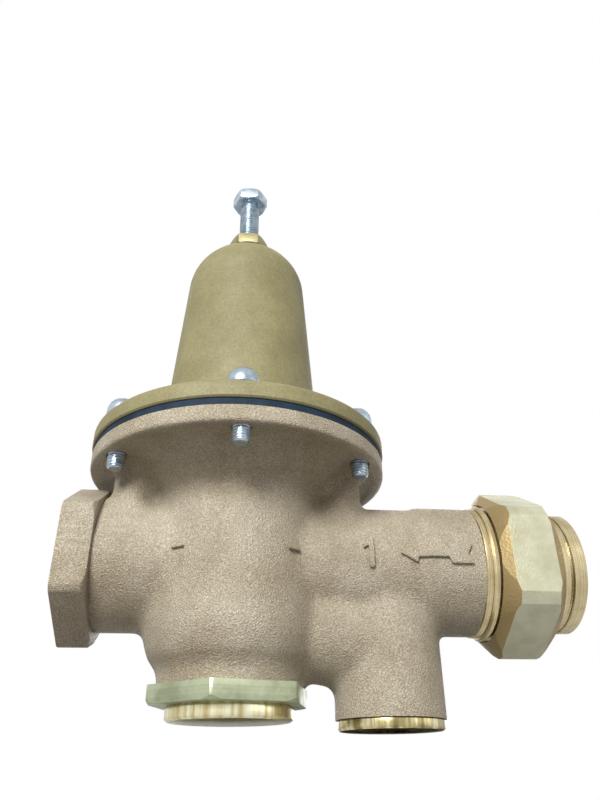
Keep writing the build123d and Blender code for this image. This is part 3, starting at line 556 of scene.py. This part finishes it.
plug_boss = ease(turned("plug_boss", [
    (0.0182, plug_low.z), (0.0190, plug_low.z + 0.0006), (0.0190, hexagon_foot - 0.0006),
    (boss_edge, hexagon_foot - 0.0002), (boss_edge, hexagon_foot + 0.001)], hub, sides=128), 0.0002, angle=20)


def polished(name, dark, middle_tone, bright):
    """Brass faced on a lathe and left bright, with bands of painted reflection in its colour that run along
    its axis.
    """
    made = finish(name, Metallic=0.9, Roughness=0.24)
    skin = grained(made, 2400, 120, 0.00004, 0.3)
    stretch = node(made, "ShaderNodeMapping", Scale=(1.0, 1.0, 0.03))
    wire(made, node(made, "ShaderNodeTexCoord").outputs["Object"], stretch.inputs["Vector"])
    # Bands in the colour from dark to bright, constant along the axis: painted reflections of the
    # surroundings on the polished round.
    painted_reflections = node(made, "ShaderNodeTexNoise", Scale=520.0, Detail=3.0, Roughness=0.6)
    wire(made, stretch.outputs["Vector"], painted_reflections.inputs["Vector"])
    tone = ramp(made, painted_reflections.outputs["Fac"], (0.36, dark), (0.50, middle_tone), (0.62, bright))
    dirt = ramp(made, skin.outputs["Patches"], (0.36, (0.86, 0.84, 0.78)), (0.60, (1.0, 1.0, 1.0)))
    wire(made, mixed(made, 1.0, tone, dirt, "MULTIPLY"), shader(made).inputs["Base Color"])
    return made


boss_brass = polished("polished_brass", (0.50, 0.42, 0.20), (0.68, 0.62, 0.38), (0.84, 0.83, 0.64))
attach(plug_boss, "valve")
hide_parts("bottom_plug")
coat_with(plug_boss, boss_brass)
tarnished_brass = brass("tarnished_brass", "Z", 0.42, (0.27, 0.30, 0.19), (0.44, 0.48, 0.33),
                        depth=0.00012, line_spacing=500, lines=0.12)
shader(tarnished_brass).inputs["Metallic"].default_value = 0.75
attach(bottom_plug, "valve")
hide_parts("bottom_plug")
coat_with(bottom_plug, tarnished_brass)

# ---- Strainer plug and screen -----------------------------------------------
# A round brass cap screwed into the tower's foot, with a hexagon key socket, and
# a tube of woven stainless mesh seated in it.

screen_seat = 0.01105
strainer_plug = turned("strainer_cap", [
    (0.0155, cap_low.z), (0.0161, cap_low.z + 0.0006), (0.0161, tower_foot - 0.0003), (0.0158, tower_foot),
    (0.0128, tower_foot), (0.0128, tower_foot + 0.0006), (0.01315, tower_foot + 0.0010),
    (0.01315, cap_high.z - 0.0004), (0.0127, cap_high.z), (screen_seat, cap_high.z),
    (screen_seat, cap_high.z - 0.0015)], (tower_x, 0, 0), sides=128)
key_socket = hexagon("key_socket", 0.0120, 0.006, (tower_x, 0, cap_low.z - 0.001), turn=math.pi / 6)
combine(strainer_plug, key_socket, "DIFFERENCE")
ease(strainer_plug, 0.00015, angle=28)
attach(strainer_plug, "valve")
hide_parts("strainer_plug")
brass_with_painted_reflections = polished("brass_with_painted_reflections", (0.24, 0.20, 0.09), (0.50, 0.43, 0.22), (0.72, 0.68, 0.46))
coat_with(strainer_plug, brass_with_painted_reflections)

woven_steel = finish("woven_steel", Metallic=1.0, Roughness=0.35)
grained(woven_steel, 1600, 200, 0.0001, 0.5)
wires_up = node(woven_steel, "ShaderNodeTexWave", bands_direction="Z", Scale=900.0)
wire(woven_steel, node(woven_steel, "ShaderNodeTexCoord").outputs["Object"], wires_up.inputs["Vector"])
weave = ramp(woven_steel, wires_up.outputs["Fac"], (0.2, (0.10, 0.10, 0.10)), (0.6, (0.56, 0.56, 0.55)))
wire(woven_steel, weave, shader(woven_steel).inputs["Base Color"])
coat_with(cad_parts["strainer_screen"], woven_steel)

# ---- Bonnet -----------------------------------------------------------------
# The spring cage: an iron casting, turned at its flange and on the small boss of
# its crown, and painted all over in a matt olive gold. Six screws hold it down.

bonnet_low, bonnet_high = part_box("bonnet")
flange_face = bonnet_low.z + 0.0061
dome_foot = 0.1120
dome_radius = 0.02269
dome_offset = 0.00035
dome_centre = 0.11075
dome_flattening = 0.935
dome_steps = 14
dome = []
for step in range(dome_steps + 1):
    angle = math.radians(3.2 + 64.0 * step / dome_steps)
    rise = dome_centre + dome_radius * math.sin(angle) - dome_foot
    dome.append((dome_offset + dome_radius * math.cos(angle), dome_foot + dome_flattening * rise))
cage_radius = 0.05035
crown_boss_radius = 0.0080
tapped_radius = 0.0042
cavity_top = 0.1210
spring_cage = turned("spring_cage", [
    (0.0499, bonnet_low.z), (cage_radius, bonnet_low.z + 0.0005), (cage_radius, flange_face - 0.0016),
    (0.0501, flange_face - 0.0008), (0.0495, flange_face - 0.0002), (0.0487, flange_face),
    (0.0299, flange_face), (0.0289, flange_face + 0.0003), (0.0283, flange_face + 0.0012),
    (0.0281, flange_face + 0.0022), *dome,
    (0.0085, 0.1305), (crown_boss_radius, 0.1308), (crown_boss_radius, bonnet_high.z - 0.0003),
    (0.0077, bonnet_high.z), (tapped_radius, bonnet_high.z), (tapped_radius, cavity_top),
    (0.0090, cavity_top), (0.0194, dome_foot),
    (0.0247, bonnet_low.z), (0.0499, bonnet_low.z)], hub, sides=128)
for number in range(6):
    combine(spring_cage, turned("clearance_hole", [
        (0.0032, bonnet_low.z - 0.001), (0.0032, flange_face + 0.001)], screw_place(number), sides=32),
        "DIFFERENCE")
smooth(spring_cage, 30)
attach(spring_cage, "valve")
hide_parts("bonnet")
olive_paint = finish("olive_paint", Metallic=0.0, Roughness=0.62, Specular_IOR_Level=0.4)
paint_skin = grained(olive_paint, 1100, 60, 0.00008, 0.5)
paint_tone = ramp(olive_paint, paint_skin.outputs["Patches"],
                  (0.35, (0.178, 0.158, 0.072)), (0.50, (0.205, 0.183, 0.088)), (0.65, (0.235, 0.212, 0.106)))
paint_fleck = ramp(olive_paint, paint_skin.outputs["Grain"],
                   (0.36, (0.86, 0.86, 0.84)), (0.64, (1.10, 1.10, 1.08)))
wire(olive_paint, mixed(olive_paint, 1.0, paint_tone, paint_fleck, "MULTIPLY"),
     shader(olive_paint).inputs["Base Color"])
coat_with(spring_cage, olive_paint)

# ---- Bonnet screws ----------------------------------------------------------
# Six slotted round-head steel screws, zinc plated, screwed down through the
# bonnet and both rubber layers. Their threaded tips stand out under the flange.

zinc = finish("zinc_plate", Metallic=1.0, Roughness=0.3)
zinc_skin = grained(zinc, 2400, 260, 0.00004, 0.4)
wire(zinc, ramp(zinc, zinc_skin.outputs["Patches"], (0.36, (0.26, 0.32, 0.38)), (0.64, (0.46, 0.54, 0.62))),
     shader(zinc).inputs["Base Color"])
tip = flange_foot - 0.0044
screw = turned("bonnet_screw_1", [
    (0.0020, tip), (0.0025, tip + 0.0005), *thread(0.00275, 0.00235, tip + 0.0006, flange_top, 0.00095),
    (0.0027, flange_face), (0.0048, flange_face), (0.0050, flange_face + 0.0003),
    (0.0050, flange_face + 0.0016), (0.0048, flange_face + 0.0029), (0.0043, flange_face + 0.0041),
    (0.0035, flange_face + 0.0051), (0.0024, flange_face + 0.0058), (0.0012, flange_face + 0.00615),
    (0.0001, flange_face + 0.0062)], sides=48)
bpy.ops.object.select_all(action="DESELECT")
bpy.ops.mesh.primitive_cube_add(size=1, location=(0, 0, flange_face + 0.0065), scale=(0.0120, 0.0012, 0.0030),
                                rotation=(0, 0, math.radians(35)))
driver_slot = bpy.context.object
bpy.ops.object.transform_apply(location=True, rotation=True, scale=True)
combine(screw, driver_slot, "DIFFERENCE")
smooth(screw, 30)
coat_with(screw, zinc)
screws = [screw]
for number in range(2, 7):
    pick(screw)
    bpy.ops.object.duplicate(linked=False)
    bpy.context.object.name = "bonnet_screw_%d" % number
    bpy.context.object.data.name = bpy.context.object.name
    screws.append(bpy.context.object)
for number, piece in enumerate(screws):
    stand(piece, screw_place(number), (0, 0, math.radians(47 * number)))
    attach(piece, "valve")
    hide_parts("bonnet_screws")

# ---- Spring, button and pressure plate --------------------------------------
# Inside the bonnet: a coil spring of oiled wire between a pressed steel plate on
# the diaphragm and the button that the adjusting screw pushes down.

for name in ("pressure_plate", "spring_button"):
    coat_with(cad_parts[name], zinc)
spring_steel = finish("spring_steel", Metallic=1.0, Roughness=0.38)
spring_skin = grained(spring_steel, 2000, 220, 0.00004, 0.4)
spring_tone = ramp(spring_steel, spring_skin.outputs["Patches"],
                   (0.36, (0.16, 0.16, 0.17)), (0.64, (0.30, 0.30, 0.31)))
wire(spring_steel, spring_tone, shader(spring_steel).inputs["Base Color"])
coat_with(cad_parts["range_spring"], spring_steel)

# ---- Adjusting screw and lock nut -------------------------------------------
# A zinc-plated hexagon-headed set screw with a fine thread, tapped down through
# the crown, and the brass nut that locks it on a black washer.

screw_low, screw_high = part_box("adjusting_screw")
head_foot = screw_high.z - 0.0054
adjusting_screw = turned("adjusting_screw_shank", [
    (0.0034, screw_low.z), (0.0040, screw_low.z + 0.0006),
    *thread(0.00408, 0.00345, screw_low.z + 0.0008, head_foot - 0.0012, 0.00125),
    (0.0035, head_foot - 0.0008), (0.0037, head_foot + 0.0005)], hub, sides=64)
head = hexagon("adjusting_screw_head", 0.0130, 0.0054, (valve_x, 0, head_foot), turn=math.radians(25))
combine(head, turned("head_turning", [
    (0.0063, head_foot - 0.0001), (0.0075, head_foot + 0.0006), (0.0075, head_foot + 0.0046),
    (0.0064, screw_high.z)], hub), "INTERSECT")
combine(head, turned("head_dish", [
    (0.0046, screw_high.z - 0.0005), (0.0052, screw_high.z + 0.0003)], hub, sides=64), "DIFFERENCE")
ease(head, 0.00014, angle=22)
combine(adjusting_screw, head, "UNION")
smooth(adjusting_screw, 28)
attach(adjusting_screw, "adjuster")
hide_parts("adjusting_screw")
coat_with(adjusting_screw, zinc)

nut_low, nut_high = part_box("lock_nut")
lock_flats = 0.0140
lock_corner_radius = 0.00808
lock_face_radius = 0.0069
lock_bore_radius = 0.00418
lock_nut = hexagon("lock_nut_hexagon", lock_flats, nut_high.z - nut_low.z, (valve_x, 0, nut_low.z),
                   turn=math.radians(28))
combine(lock_nut, turned("lock_nut_turning", [
    (lock_face_radius, nut_low.z), (lock_corner_radius, nut_low.z + 0.0008),
    (lock_corner_radius, nut_high.z - 0.0008), (lock_face_radius, nut_high.z)], hub), "INTERSECT")
combine(lock_nut, turned("lock_nut_bore", [
    (0.0048, nut_low.z - 0.0002), (lock_bore_radius, nut_low.z + 0.0005),
    (lock_bore_radius, nut_high.z - 0.0005), (0.0048, nut_high.z + 0.0002)], hub, sides=64), "DIFFERENCE")
ease(lock_nut, 0.00014, angle=22)
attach(lock_nut, "lock")
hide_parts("lock_nut")
coat_with(lock_nut, brass("yellow_brass", "Z", 0.5, (0.19, 0.17, 0.085), (0.31, 0.28, 0.15)))

# ---- Union nut --------------------------------------------------------------
# A large hexagon nut of satin brass, with both faces turned to a long chamfer. It
# screws onto the spigot, and a shoulder inside it pulls the tailpiece up.

union_low, union_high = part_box("union_nut")
union_flats = 0.04928
face_radius = 0.02248
corner_radius = 0.0274
chamfer_length = 0.0039
bevel_length = 0.0031
union_nut = hexagon("union_nut_hexagon", union_flats, union_high.x - union_low.x, (union_low.x, 0, 0), PIPE,
                    turn=math.pi / 6)
combine(union_nut, turned("union_nut_turning", [
    (face_radius, union_low.x), (corner_radius, union_low.x + chamfer_length),
    (corner_radius, union_high.x - chamfer_length), (face_radius, union_high.x)],
    (0, 0, 0), PIPE, sides=128), "INTERSECT")
flat_bevel = turned("flat_bevel", [
    (0.02563, union_low.x - 0.0001), (0.02850, union_low.x + bevel_length),
    (0.02850, union_high.x - bevel_length), (0.02563, union_high.x + 0.0001)], (0, 0, 0), PIPE, sides=6)
combine(union_nut, stand(flat_bevel, (0, 0, 0), (math.pi / 6, 0, 0)), "INTERSECT")
tail_low, tail_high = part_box("union_tailpiece")
shoulder = tail_low.x + 0.0030
combine(union_nut, turned("union_nut_bore", [
    (0.0226, union_low.x - 0.0001), (0.02208, union_low.x + 0.0006), (0.02208, shoulder),
    (0.0200, shoulder), (0.0200, union_high.x - 0.0006), (0.0206, union_high.x + 0.0002)],
    (0, 0, 0), PIPE, sides=128), "DIFFERENCE")
ease(union_nut, 0.00035, segments=3, angle=14)
satin_brass = finish("satin_brass", Metallic=0.55, Roughness=0.48, Specular_IOR_Level=0.3)
satin_skin = grained(satin_brass, 1300, 90, 0.00016, 0.5)
satin_flats = ramp(satin_brass, satin_skin.outputs["Patches"],
                   (0.36, (0.38, 0.37, 0.25)), (0.64, (0.50, 0.49, 0.36)))
# Faces that point along the nut's axis, its chamfers and end faces, get a darker brown: painted shade.
facing = node(satin_brass, "ShaderNodeSeparateXYZ")
wire(satin_brass, node(satin_brass, "ShaderNodeNewGeometry").outputs["Normal"], facing.inputs["Vector"])
end_face = node(satin_brass, "ShaderNodeMath", operation="ABSOLUTE")
wire(satin_brass, facing.outputs["X"], end_face.inputs[0])
painted_chamfer_shade = node(satin_brass, "ShaderNodeMapRange", From_Min=0.25, From_Max=0.45)
wire(satin_brass, end_face.outputs[0], painted_chamfer_shade.inputs["Value"])
wire(satin_brass, mixed(satin_brass, painted_chamfer_shade.outputs["Result"], satin_flats, (0.30, 0.22, 0.10)),
     shader(satin_brass).inputs["Base Color"])
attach(union_nut, "nut")
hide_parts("union_nut")
coat_with(union_nut, satin_brass)

# ---- Union tailpiece --------------------------------------------------------
# A turned brass tube with a clamped flange at one end, and at the other a ring
# round its tapped pipe thread. It slides out with the nut as the nut unscrews.

tail_bore_radius = 0.0135
tail_thread = []
for radius, depth in thread(0.01515, 0.0162, 0.0, 0.0120, 0.0022):
    tail_thread.append((radius, tail_high.x - 0.0013 - depth))
tailpiece = smooth(turned("union_tailpiece_tube", [
    (tail_bore_radius, tail_low.x), (0.0212, tail_low.x), (0.0215, tail_low.x + 0.0003), (0.0215, shoulder),
    (0.0186, shoulder), (0.0186, tail_high.x - 0.0053), (0.0190, tail_high.x - 0.0048),
    (0.0193, tail_high.x - 0.0047), (0.0196, tail_high.x - 0.0044), (0.0196, tail_high.x - 0.0008),
    (0.0193, tail_high.x - 0.0003), (0.0188, tail_high.x), (0.0166, tail_high.x),
    (0.0158, tail_high.x - 0.0012), *tail_thread,
    (tail_bore_radius, tail_high.x - 0.0140), (tail_bore_radius, tail_low.x)], (0, 0, 0), PIPE, sides=128))
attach(tailpiece, "tail")
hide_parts("union_tailpiece")
coat_with(tailpiece, pipe_brass)

# ---- View -------------------------------------------------------------------
# A plain pale floor under the two plugs that fades out into a white room, soft
# lamps all round, the strongest in front and above, and a camera low in front.

camera_data = bpy.data.cameras.new("camera")
camera_data.lens = 30.17
camera_data.sensor_width = 36
camera_data.clip_start = 0.01
camera = bpy.data.objects.new("camera", camera_data)
bpy.context.scene.collection.objects.link(camera)
stand_point = Vector((0.0521, -0.21915, -0.06018))
yaw = math.radians(5.81)
pitch = math.radians(29.42)
roll = math.radians(-0.42)
forward = Vector((math.sin(yaw) * math.cos(pitch), math.cos(yaw) * math.cos(pitch), math.sin(pitch)))
right = Vector((math.cos(yaw), -math.sin(yaw), 0))
up = right.cross(forward)
rolled_right = right * math.cos(roll) + up * math.sin(roll)
rolled_up = up * math.cos(roll) - right * math.sin(roll)
camera.matrix_world = Matrix((
    (rolled_right.x, rolled_up.x, -forward.x, stand_point.x),
    (rolled_right.y, rolled_up.y, -forward.y, stand_point.y),
    (rolled_right.z, rolled_up.z, -forward.z, stand_point.z),
    (0, 0, 0, 1)))
bpy.context.scene.camera = camera


def larger(material, first, second):
    """The larger of two masks."""
    made = node(material, "ShaderNodeMath", operation="MAXIMUM")
    wire(material, first, made.inputs[0])
    wire(material, second, made.inputs[1])
    return made.outputs[0]


def seen_by(material, rays):
    """A mask of the rays that show the background: from the camera, a gloss or a clear piece."""
    seen = larger(material, rays.outputs["Is Camera Ray"], rays.outputs["Is Glossy Ray"])
    return larger(material, seen, rays.outputs["Is Transmission Ray"])


# The floor is clear from below, and to the light that comes up from under it
floor_drop = 0.0002
bpy.ops.object.select_all(action="DESELECT")
bpy.ops.mesh.primitive_plane_add(size=3, location=(valve_x, 0, cap_low.z - floor_drop))
floor = bpy.context.object
floor.name = "floor"
bpy.ops.object.transform_apply(location=True)
floor_paint = finish("floor_paint", Roughness=0.85)
clear = node(floor_paint, "ShaderNodeBsdfTransparent")
floor_side = node(floor_paint, "ShaderNodeNewGeometry")
floor_rays = node(floor_paint, "ShaderNodeLightPath")
open_floor = larger(floor_paint, floor_side.outputs["Backfacing"], floor_rays.outputs["Is Shadow Ray"])
from_valve = node(floor_paint, "ShaderNodeVectorMath", operation="LENGTH")
wire(floor_paint, node(floor_paint, "ShaderNodeTexCoord").outputs["Object"], from_valve.inputs[0])
faded = node(floor_paint, "ShaderNodeMapRange", interpolation_type="SMOOTHSTEP", From_Min=0.35, From_Max=1.1)
wire(floor_paint, from_valve.outputs["Value"], faded.inputs["Value"])
floor_mix = node(floor_paint, "ShaderNodeMixShader")
wire(floor_paint, larger(floor_paint, open_floor, faded.outputs["Result"]), floor_mix.inputs[0])
shown_floor = seen_by(floor_paint, floor_rays)
wire(floor_paint, mixed(floor_paint, shown_floor, (0.12, 0.11, 0.10), (0.80, 0.80, 0.80)),
     shader(floor_paint).inputs["Base Color"])
wire(floor_paint, shader(floor_paint).outputs[0], floor_mix.inputs[1])
wire(floor_paint, clear.outputs[0], floor_mix.inputs[2])
wire(floor_paint, floor_mix.outputs[0], floor_paint.node_tree.nodes["Material Output"].inputs["Surface"])
coat_with(floor, floor_paint)


middle = Vector((valve_x, 0, 0.03))


def lamp(name, place, size, power):
    """A soft square lamp at a place, aimed at the middle of the valve."""
    data = bpy.data.lights.new(name, "AREA")
    data.size = size
    data.energy = power
    made = bpy.data.objects.new(name, data)
    made.location = place
    made.rotation_euler = (middle - Vector(place)).to_track_quat("-Z", "Y").to_euler()
    bpy.context.scene.collection.objects.link(made)


lamp("key_lamp", (-0.25, -0.80, 0.44), 0.35, 14)
lamp("fill_lamp", (0.80, -0.45, 0.20), 0.7, 1.5)
lamp("back_lamp", (0.25, 0.95, 0.30), 0.8, 6)
lamp("low_lamp", (0.0, -0.45, -0.50), 0.5, 0.3)

world = bpy.data.worlds.new("world")
bpy.context.scene.world = world
world.use_nodes = True
air = world.node_tree.nodes["Background"]
air.inputs["Color"].default_value = (1, 1, 1, 1)
air_level = node(world, "ShaderNodeMapRange", To_Min=0.18, To_Max=1.0)
wire(world, seen_by(world, node(world, "ShaderNodeLightPath")), air_level.inputs["Value"])
wire(world, air_level.outputs["Result"], air.inputs["Strength"])

bpy.context.scene.view_settings.view_transform = "Standard"
